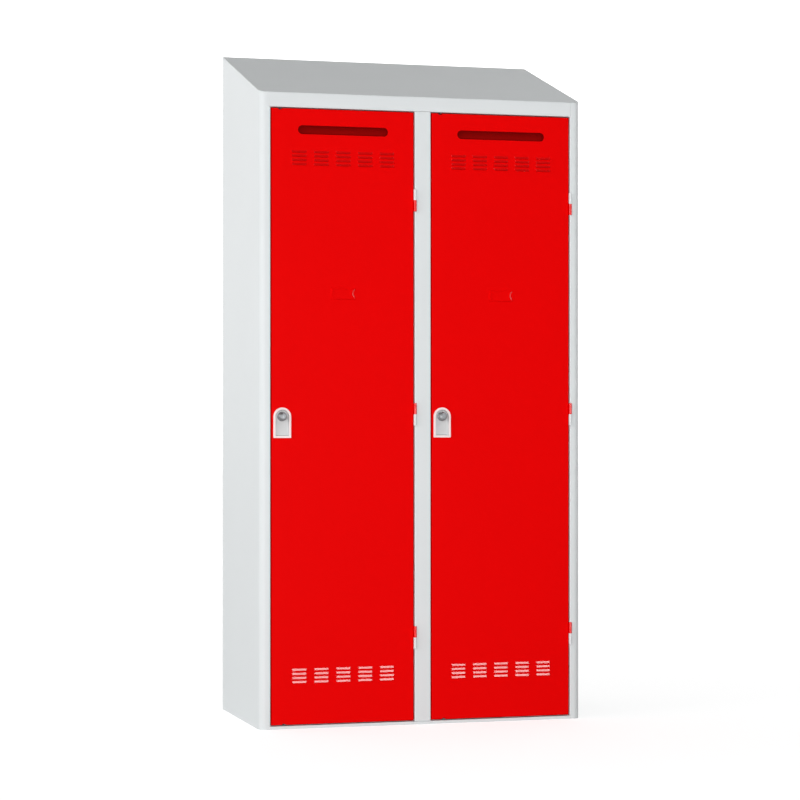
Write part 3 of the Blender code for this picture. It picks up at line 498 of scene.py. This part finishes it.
def sloping_roof():
    """Sheet that slopes up to the back, with its front corners rounded like the walls below."""
    low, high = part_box("sloping_roof")
    radius = CORNER_BEND + SHEET
    plan = [
        *arc((low.x + radius, low.y + radius), radius, pi, 3 * pi / 2, BEND_STEPS),
        *arc((high.x - radius, low.y + radius), radius, 3 * pi / 2, 2 * pi, BEND_STEPS),
        (high.x, high.y),
        (low.x, high.y),
    ]
    roof = prism(plan, "Z", 0, SHEET)
    for vert in roof.verts:
        vert.co.z += roof_underside(vert.co.y)
    show(roof, "sloping_roof_sheet", "sloping_roof")


def tongue_slot(side, x, bm):
    """Cutter for the slot that a lock's tongue sweeps through in an upright sheet at x."""
    low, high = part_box(f"{side}_lock_cam")
    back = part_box(f"{side}_upper_rod")[0].y
    reach = 2 * SHEET + DOOR_BEND
    return box((x - reach, low.y - ROD_PLAY, low.z - ROD_PLAY), (x + reach, back, high.z - ROD_PLAY), bm)


def side_panel(side):
    """Side wall bent round a soft corner into its stile, whose folded edge leaves room for the rails."""
    node = f"{side}_side_panel"
    low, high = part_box(node)
    wall, inward = (low.x, 1) if side == "left" else (high.x, -1)
    edge = wall + inward * SIDE_STILE
    stile_back = low.y + DOOR_DEPTH
    path = [(wall, high.y), (wall, low.y, CORNER_BEND), (edge, low.y), (edge, stile_back)]
    near, far = folded_sheet(path[::inward], SHEET, SHEET_BEND)
    panel = prism(near + far[::-1], "Z", low.z, high.z)
    for vert in panel.verts:
        if vert.co.z > low.z:
            vert.co.z = roof_underside(vert.co.y) - SEAM
    fold = SHEET + SHEET_BEND
    rail_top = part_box("centre_stile")[0].z
    header_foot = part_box("centre_stile")[1].z
    notch_low = (edge - fold, low.y - SHEET, low.z - SHEET)
    notch_high = (edge + fold, stile_back + SHEET, roof_underside(stile_back + SHEET))
    openings = box(notch_low, (*notch_high[:2], rail_top))
    box((*notch_low[:2], header_foot), notch_high, openings)
    if side == "left":
        tongue_slot(side, edge, openings)
    show(carve(panel, openings), f"{node}_folded", node)


# Doors

def door_face(side):
    """Left, right, bottom, top and front plane of a door's flat skin."""
    low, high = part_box(f"{side}_door_panel")
    return low.x, high.x, low.z, high.z, high.y - DOOR_DEPTH


def vent_places(side):
    """Middle of each louvre of a door, as X and Z."""
    left, right, bottom, top, _ = door_face(side)
    middle = (left + right) / 2
    places = []
    for block in (bottom + VENT_EDGE, top - VENT_EDGE):
        for column in range(VENT_COLUMNS):
            for row in range(VENT_ROWS):
                x = middle + (column - (VENT_COLUMNS - 1) / 2) * VENT_PITCH
                places.append((x, block + (row - (VENT_ROWS - 1) / 2) * VENT_ROW_PITCH))
    return places


def rod_notches(side, reach, bm):
    """Cutters for the notches in a door's folded edges that its two rods run through."""
    face = door_face(side)[4]
    for rod in ("upper", "lower"):
        low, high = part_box(f"{side}_{rod}_rod")
        end = high.z if rod == "upper" else low.z
        corner = (low.x - ROD_PLAY, face - reach, end - 2 * reach)
        far_corner = (high.x + ROD_PLAY, high.y + ROD_PLAY, end + reach)
        if rod == "lower":
            corner = (corner[0], corner[1], end - reach)
            far_corner = (far_corner[0], far_corner[1], end + 2 * reach)
        box(corner, far_corner, bm)


def door_pan(side):
    """Folded pan of a door with its slot, lock hole, louvre windows and notches cut out."""
    left, right, bottom, top, face = door_face(side)
    back = face + DOOR_DEPTH
    path = [(DOOR_LIP, back), (0, back), (0, face), (DOOR_LIP, face)]
    near, far = folded_sheet(path, SHEET, DOOR_BEND)
    loops = []
    for inset, y in near[::-1] + far:
        across = (left + inset, right - inset)
        upright = (bottom + inset, top - inset)
        loops.append([
            (across[0], y, upright[0]), (across[1], y, upright[0]),
            (across[1], y, upright[1]), (across[0], y, upright[1]),
        ])
    pan = loft(loops)

    through = (face - SHEET, face + 2 * SHEET)
    radius = SLOT_HEIGHT / 2
    middle = (left + right) / 2
    end = SLOT_LENGTH / 2 - radius
    height = top - SLOT_DROP
    slot = [
        *arc((middle + end, height), radius, -pi / 2, pi / 2, ARC_STEPS),
        *arc((middle - end, height), radius, pi / 2, 3 * pi / 2, ARC_STEPS),
    ]
    openings = prism(slot, "Y", *through)
    lock_hole, origin = lock_outline(side, lock_flange(side) - SEAM)
    prism([(origin.x + x, origin.z + z) for x, z in lock_hole], "Y", *through, openings)
    for x, z in vent_places(side):
        half = VENT_LENGTH / 2 - WINDOW_MARGIN
        low = (x - half, through[0], z - HOOD_HEIGHT / 2 - VENT_GAP)
        box(low, (x + half, through[1], z + HOOD_HEIGHT / 2 - WINDOW_MARGIN), openings)
    rod_notches(side, SHEET + DOOR_BEND, openings)
    tongue_slot(side, left, openings)
    show(carve(pan, openings), f"{side}_door_pan", f"{side}_door_panel")


def hood_bulge(distance, blend):
    """Share of a hood's reach at a distance from its edge: a soft start, then a straight slope."""
    slope = 1 / (HOOD_HEIGHT - blend / 2)
    return slope * distance ** 2 / (2 * blend) if distance < blend else slope * (distance - blend / 2)


def louvres(side):
    """Hoods lanced out of the skin: rounded at both ends, sloping out to an open lip along the foot."""
    face = door_face(side)[4]
    end_turns = [pi / 2 * step / HOOD_STEPS for step in range(HOOD_STEPS + 1)]
    ends = [(HOOD_END * (1 - cos(turn)), sin(turn)) for turn in end_turns]
    drops = [HOOD_HEIGHT * step / HOOD_STEPS for step in range(HOOD_STEPS + 1)]
    bm = bmesh.new()
    for x, z in vent_places(side):
        half = VENT_LENGTH / 2
        columns = [(x - half + reach, share) for reach, share in ends]
        columns += [(x + half - reach, share) for reach, share in reversed(ends)]
        sheets = []
        for depth in (0, SHEET):
            rows = []
            for drop in drops:
                out = HOOD_REACH * hood_bulge(drop, HOOD_CROWN)
                rows.append([
                    bm.verts.new((at, face + HOOD_SINK + depth - out * share, z + HOOD_HEIGHT / 2 - drop))
                    for at, share in columns
                ])
            sheets.append(rows)
        outer, inner = sheets
        for rows in sheets:
            for one, other in zip(rows, rows[1:]):
                strip(bm, one, other)
        for edge in (0, -1):
            strip(bm, outer[edge], inner[edge])
            strip(bm, [row[edge] for row in outer], [row[edge] for row in inner])
    # The hoods take the louvre red, whose deeper colour is painted shade
    show(bm, f"{side}_door_louvres", f"{side}_door_panel", RED_LOUVRE_PAINTED_SHADE, replaces=False)


def label_holder(side):
    """Card pocket open at its right end, where a thumb notch with a glossy slope gives hold of the card."""
    node = f"{side}_label_holder"
    low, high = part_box(node)
    middle = (low.z + high.z) / 2
    notch_radius = (NOTCH_HEIGHT ** 2 / 4 + NOTCH_DEPTH ** 2) / (2 * NOTCH_DEPTH)
    notch_centre = high.x + notch_radius - NOTCH_DEPTH

    def outline(inset, radius):
        end = high.x - inset
        turn = acos((notch_centre - end) / radius)
        return [
            (low.x + inset, low.z + inset),
            (end, low.z + inset),
            *arc((notch_centre, middle), radius, pi + turn, pi - turn, ARC_STEPS),
            (end, high.z - inset),
            (low.x + inset, high.z - inset),
        ]

    slope = NOTCH_SLOPE / (high.y - low.y)
    shoulder = low.y + LABEL_EASE
    plate = loft([
        [(x, high.y, z) for x, z in outline(0, notch_radius)],
        [(x, shoulder, z) for x, z in outline(0, notch_radius + slope * (high.y - shoulder))],
        [(x, low.y, z) for x, z in outline(LABEL_EASE, notch_radius + NOTCH_SLOPE)],
    ])
    card_low = (low.x + LABEL_BORDER, low.y - SEAM, low.z + LABEL_BORDER)
    card_high = (high.x - LABEL_END, low.y + LABEL_RECESS, high.z - LABEL_BORDER)
    plate = carve(plate, box(card_low, card_high))
    plate.normal_update()
    least_slope = 0.3
    for face in plate.faces:
        reached = (face.calc_center_median() - Vector((notch_centre, 0, middle))).xz.length
        sloping = face.normal.x > least_slope and face.normal.y < -least_slope
        face.material_index = int(sloping and reached < notch_radius + NOTCH_SLOPE)
    show(plate, f"{node}_pressed", node, RED_COAT, RED_GLOSS)


# Hinges

def hinge_half(side, place, kind):
    """Half of a lift-off hinge: the door's half is a tube, the frame's half carries the pin."""
    node = f"{side}_hinge_{place}_{kind}_half"
    low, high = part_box(node)
    axis = AXIS_AT[f"{side}_door_swing"]
    centre = (axis.x, axis.y, 0)
    above = kind == ("frame" if place == "top" else "door")
    bore = PIN_RADIUS + PIN_PLAY
    start, end = (low.z, high.z) if above else (high.z, low.z)
    if kind == "frame":
        start = start + PIN_LENGTH if above else start - PIN_LENGTH
    length = end - start
    ease = KNUCKLE_EASE if length > 0 else -KNUCKLE_EASE
    if kind == "door":
        outside = [(bore, start), (KNUCKLE_RADIUS, start), (KNUCKLE_RADIUS, end - ease)]
        bm = turned([*outside, (KNUCKLE_RADIUS - KNUCKLE_EASE, end), (bore, end)], "Z", centre, ring=True)
    else:
        pin_end = low.z if above else high.z
        bm = turned([
            (PIN_RADIUS - KNUCKLE_EASE, pin_end), (PIN_RADIUS, pin_end + ease), (PIN_RADIUS, start),
            (KNUCKLE_RADIUS, start), (KNUCKLE_RADIUS, end - ease), (KNUCKLE_RADIUS - KNUCKLE_EASE, end),
        ], "Z", centre)
    leaf_left = axis.x + (DOOR_LEAF_LEFT if kind == "door" else FRAME_LEAF_LEFT)
    leaf_low = (leaf_left, axis.y + bore + SEAM, min(start, end) + LEAF_INSET)
    box(leaf_low, (leaf_left + LEAF, high.y, max(start, end) - LEAF_INSET), bm)
    show(bm, f"{node}_turned", node, RED_GLOSS if kind == "door" else GREY_COAT)


# Locks

def lock_outline(side, inset):
    """The cup's arch moved in by inset, round the knob's axis, and that axis."""
    low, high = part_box(f"{side}_lock_cup")
    origin = AXIS_AT[f"{side}_knob_turn"]
    half = (high.x - low.x) / 2 - inset
    foot = low.z - origin.z + inset
    ease = max(LOCK_FOOT_RADIUS - inset, LOCK_INNER_RADIUS)
    sill = half - ease
    side_foot = foot + ease
    steps = [step / EDGE_STEPS for step in range(1, EDGE_STEPS)]
    outline = [
        *[(-sill + 2 * sill * step, foot) for step in steps],
        *arc((sill, side_foot), ease, -pi / 2, 0, EASE_STEPS),
        *[(half, side_foot * (1 - step)) for step in steps],
        *arc((0, 0), half, 0, pi, ARC_STEPS),
        *[(-half, side_foot * step) for step in steps],
        *arc((-sill, side_foot), ease, pi, 3 * pi / 2, EASE_STEPS),
    ]
    return outline, origin


def lock_flange(side):
    """How far inside its rim the cup passes through the door's skin."""
    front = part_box(f"{side}_lock_cup")[0].y - AXIS_AT[f"{side}_knob_turn"].y
    return LOCK_RIM + LOCK_SLOPE * front / (front - LOCK_DISH) - LOCK_WALL


def lock_cup(side):
    """Finger cup with a rim painted lighter as a painted highlight, sloping walls and a flat floor, and the sleeve
    behind it.
    """
    node = f"{side}_lock_cup"
    low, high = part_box(node)
    plain, origin = lock_outline(side, 0)
    front = low.y - origin.y
    sleeve_back = high.y - origin.y
    cup_back = LOCK_DISH + LOCK_WALL
    floor = LOCK_RIM + LOCK_SLOPE
    flange = lock_flange(side)
    profile = rounded([
        (floor + DISH_EASE, LOCK_DISH, 0),
        (floor, LOCK_DISH, DISH_EASE),
        (LOCK_RIM, front, RIM_INNER_EASE),
        (0, front, RIM_OUTER_EASE),
        (0, -SEAM, 0),
        (flange, -SEAM, 0),
        (flange, LOCK_DISH, 0),
        (flange + LOCK_WALL, cup_back, 0),
    ])
    loops = []
    for inset, y in profile:
        outline = lock_outline(side, inset)[0]
        loops.append([origin + Vector((x, y, z)) for x, z in outline])
    turns = [atan2(z, x) for x, z in plain]
    sleeve = [
        (SLEEVE_RADIUS, cup_back),
        (SLEEVE_RADIUS, sleeve_back),
        (SLEEVE_BORE, sleeve_back),
        (SLEEVE_BORE, LOCK_DISH),
    ]
    for radius, y in sleeve:
        loops.append([origin + Vector((radius * cos(turn), y, radius * sin(turn))) for turn in turns])
    cup = loft(loops, ring=True)
    # Front faces of the rim take the painted highlight, the rest the casting's own grey
    for face in cup.faces:
        face.material_index = int(face.calc_center_median().y < low.y + RIM_OUTER_EASE)
    show(cup, f"{side}_lock_cup_cast", node, CAST_LACQUER, RIM_PAINTED_HIGHLIGHT)


def lock_knob(side):
    """Turning knob with a waist and a collar, a lock plug in its face, and the spindle to the cam."""
    node = f"{side}_lock_knob"
    origin = AXIS_AT[f"{side}_knob_turn"]
    seat = LOCK_DISH - SEAM
    spindle_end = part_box(f"{side}_lock_cup")[1].y - origin.y
    groove = PLUG_RADIUS + PLUG_GROOVE
    profile = [
        (PLUG_RADIUS, -KNOB_REACH),
        (PLUG_RADIUS, PLUG_GROOVE - KNOB_REACH),
        (groove, PLUG_GROOVE - KNOB_REACH),
        *rounded([
            (groove, -KNOB_REACH, 0),
            (KNOB_RADIUS, KNOB_CONE - KNOB_REACH, KNOB_EASE),
            (KNOB_RADIUS, -2 * KNOB_COLLAR, KNOB_COLLAR),
            (KNOB_NECK_RADIUS, seat - 2 * KNOB_COLLAR, KNOB_COLLAR / 2),
            (KNOB_COLLAR_RADIUS, seat - KNOB_COLLAR, KNOB_COLLAR / 2),
            (KNOB_COLLAR_RADIUS, seat, 0),
        ]),
        (SPINDLE_RADIUS, seat),
        (SPINDLE_RADIUS, spindle_end),
    ]
    knob = turned(profile, "Y", origin)
    half_width = KEY_SLOT_WIDTH / 2
    half_length = KEY_SLOT_LENGTH / 2
    key_low = origin + Vector((-half_width, -KNOB_REACH - KEY_SLOT_DEPTH, -half_length))
    key_high = origin + Vector((half_width, KEY_SLOT_DEPTH - KNOB_REACH, half_length))
    knob = carve(knob, box(key_low, key_high))
    half = SPINDLE_SQUARE / 2
    square_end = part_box(node)[1].y
    square_low = origin + Vector((-half, spindle_end - SEAM, -half))
    box(square_low, (origin.x + half, square_end, origin.z + half), knob)
    show(knob, f"{side}_lock_knob_turned", node)


# Inside fittings

def clothes_rail(side):
    """Chromed tube between the two sockets."""
    node = f"{side}_clothes_rail"
    low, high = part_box(node)
    radius = (high.z - low.z) / 2
    bore = radius - RAIL_WALL
    centre = (0, (low.y + high.y) / 2, (low.z + high.z) / 2)
    tube = [(bore, low.x), (radius, low.x), (radius, high.x), (bore, high.x)]
    show(turned(tube, "X", centre, ring=True), f"{node}_tube", node)


def rail_socket(side, end):
    """Flanged nylon cup that holds one end of the clothes rail."""
    node = f"{side}_rail_socket_{end}"
    low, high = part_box(node)
    flange = (high.z - low.z) / 2
    centre = (0, (low.y + high.y) / 2, (low.z + high.z) / 2)
    rail_low, rail_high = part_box(f"{side}_clothes_rail")
    bore = (rail_high.z - rail_low.z) / 2 + SEAM
    collar = bore + SOCKET_WALL
    wall, mouth, facing = (low.x, high.x, 1) if end == "outer" else (high.x, low.x, -1)
    face = wall + facing * SOCKET_WALL
    profile = rounded([
        (bore / 2, face, 0),
        (bore, face, 0),
        (bore, mouth, SOCKET_EASE),
        (collar, mouth, SOCKET_EASE),
        (collar, face, SOCKET_EASE),
        (flange, face, SOCKET_EASE),
        (flange, wall, 0),
        (bore / 2, wall, 0),
    ])
    show(turned(profile, "X", centre), f"{node}_moulded", node)


def door_buffer(side):
    """Rubber stud that the closed door rests on."""
    node = f"{side}_door_buffer"
    low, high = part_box(node)
    radius = (high.x - low.x) / 2
    centre = ((low.x + high.x) / 2, 0, (low.z + high.z) / 2)
    profile = rounded([
        (BUFFER_EASE, low.y, 0),
        (radius, low.y, BUFFER_EASE),
        (radius, high.y, 0),
        (BUFFER_EASE, high.y, 0),
    ])
    show(turned(profile, "Y", centre), f"{node}_moulded", node)


# The room

def looked_at(tree):
    """Socket that is 1 where the camera sees the room, also in a mirror or through glass, and else 0."""
    path = add_node(tree, "ShaderNodeLightPath").outputs
    mirrored = add_node(
        tree, "ShaderNodeMath",
        {0: path["Is Glossy Ray"], 1: path["Is Transmission Ray"]}, operation="MAXIMUM",
    )
    seen = add_node(
        tree, "ShaderNodeMath", {0: path["Is Camera Ray"], 1: mirrored.outputs[0]}, operation="MAXIMUM",
    )
    return seen.outputs[0]


def studio_floor():
    """White floor that the camera sees as white, with the locker's shadow kept on it.

    It glows more away from the locker, where less of the lamps' light falls.
    """
    half = 30
    near_glow = 0.72
    far_glow = 0.84
    brightest = (0, -1.5, 0)
    fade = 7
    mesh = bpy.data.meshes.new("studio_floor")
    bm = bmesh.new()
    corners = [(-half, -half, 0), (half, -half, 0), (half, half, 0), (-half, half, 0)]
    bm.faces.new([bm.verts.new(corner) for corner in corners])
    bm.to_mesh(mesh)
    bm.free()
    floor = bpy.data.objects.new("studio_floor", mesh)
    bpy.context.scene.collection.objects.link(floor)
    made, tree, shader, place = new_finish("white_studio_paint")
    away = add_node(tree, "ShaderNodeVectorMath", {0: place, 1: brightest}, operation="DISTANCE")
    glow = add_node(
        tree, "ShaderNodeMapRange",
        {"Value": away.outputs["Value"], "From Max": fade, "To Min": near_glow, "To Max": far_glow},
        interpolation_type="SMOOTHSTEP",
    )
    strength = add_node(
        tree, "ShaderNodeMath", {0: looked_at(tree), 1: glow.outputs[0]}, operation="MULTIPLY",
    )
    tree.links.new(strength.outputs[0], shader.inputs["Emission Strength"])
    shader.inputs["Emission Color"].default_value = linear("#FFFFFF")
    shader.inputs["Base Color"].default_value = linear("#BEBEBE")
    shader.inputs["Roughness"].default_value = 0.9
    shader.inputs["Specular IOR Level"].default_value = 0
    mesh.materials.append(made)


def studio_world():
    """White round the horizon, falling to a dim ceiling.

    Less light comes from a wall on the right, which still looks white.
    """
    band = radians(22)
    ceiling = radians(50)
    wall_level = 1.68
    ceiling_level = 0.05
    dark_towards = (0.9, -0.44, 0)
    dark_from = 0.15
    dark_full = 0.75
    dark_share = 0.15
    world = bpy.data.worlds.new("studio")
    world.use_nodes = True
    bpy.context.scene.world = world
    tree = world.node_tree
    direction = add_node(tree, "ShaderNodeTexCoord").outputs["Generated"]
    height = add_node(tree, "ShaderNodeSeparateXYZ", {"Vector": direction}).outputs["Z"]
    upward = add_node(
        tree, "ShaderNodeMapRange",
        {"Value": height, "From Min": sin(band), "From Max": sin(ceiling),
         "To Min": wall_level, "To Max": ceiling_level},
        interpolation_type="SMOOTHSTEP",
    )
    facing = add_node(
        tree, "ShaderNodeVectorMath", {0: direction, 1: dark_towards}, operation="DOT_PRODUCT",
    )
    sideways = add_node(
        tree, "ShaderNodeMapRange",
        {"Value": facing.outputs["Value"], "From Min": dark_from, "From Max": dark_full,
         "To Min": 1, "To Max": dark_share},
        interpolation_type="SMOOTHSTEP",
    )
    whitened = add_node(
        tree, "ShaderNodeMath", {0: sideways.outputs[0], 1: looked_at(tree)}, operation="MAXIMUM",
    )
    level = add_node(
        tree, "ShaderNodeMath", {0: upward.outputs[0], 1: whitened.outputs[0]}, operation="MULTIPLY",
    )
    background = tree.nodes["Background"]
    background.inputs["Color"].default_value = linear("#FFFFFF")
    tree.links.new(level.outputs[0], background.inputs["Strength"])


def softbox(name, place, target, width, height, power):
    """Lamp panel that shines from a place towards a target, with its power in watts."""
    lamp = bpy.data.lights.new(name, "AREA")
    lamp.shape = "RECTANGLE"
    lamp.size = width
    lamp.size_y = height
    lamp.energy = power
    light = bpy.data.objects.new(name, lamp)
    light.location = place
    light.rotation_euler = (Vector(target) - Vector(place)).to_track_quat("-Z", "Y").to_euler()
    light.visible_camera = False
    bpy.context.scene.collection.objects.link(light)


def camera():
    """Camera fitted to the straight edges of the locker, level and turned to the right."""
    yaw = radians(-16.044)
    view = bpy.data.cameras.new("camera")
    view.sensor_width = 36
    view.lens = 110
    view.shift_y = 0.0081
    seen_from = bpy.data.objects.new("camera", view)
    seen_from.location = (-2.002, -6.975, 0.912)
    seen_from.rotation_euler = (pi / 2, 0, yaw)
    bpy.context.scene.collection.objects.link(seen_from)
    bpy.context.scene.camera = seen_from


def dress_locker():
    """Makes every visible piece; a node that nothing has replaced keeps its shape, with eased edges."""
    sloping_roof()
    for side in SIDES:
        side_panel(side)
        door_pan(side)
        louvres(side)
        label_holder(side)
        lock_cup(side)
        lock_knob(side)
        clothes_rail(side)
        door_buffer(side)
        for end in ("outer", "inner"):
            rail_socket(side, end)
        for place in ("top", "middle", "bottom"):
            for kind in ("door", "frame"):
                hinge_half(side, place, kind)
        # The baffle behind the slot is painted dark maroon as painted shade of the hollow
        ease_edges(f"{side}_slot_baffle", SHEET_EASE, RED_HOLLOW_PAINTED_SHADE)
    for node in frame["nodes"]:
        if not frame["nodes"][node].hide_render:
            painted = SLOT_OF[node] in ("grey_paint", "red_paint")
            ease_edges(node, SHEET_EASE if painted else PLATE_EASE)


dress_locker()
studio_floor()
studio_world()
softbox(
    "overhead_softbox", place=(1.8, -3.95, 4.95), target=(1.8, -0.25, 0.6),
    width=2.6, height=0.6, power=38,
)
softbox(
    "left_softbox", place=(-7, -2.5, 2.2), target=(0, -0.25, 0.9),
    width=3, height=3, power=80,
)
softbox(
    "front_softbox", place=(-1.2, -5.2, 0.45), target=(0, -0.25, 0.45),
    width=2.4, height=0.8, power=104,
)
camera()
bpy.context.scene.view_settings.view_transform = "Standard"
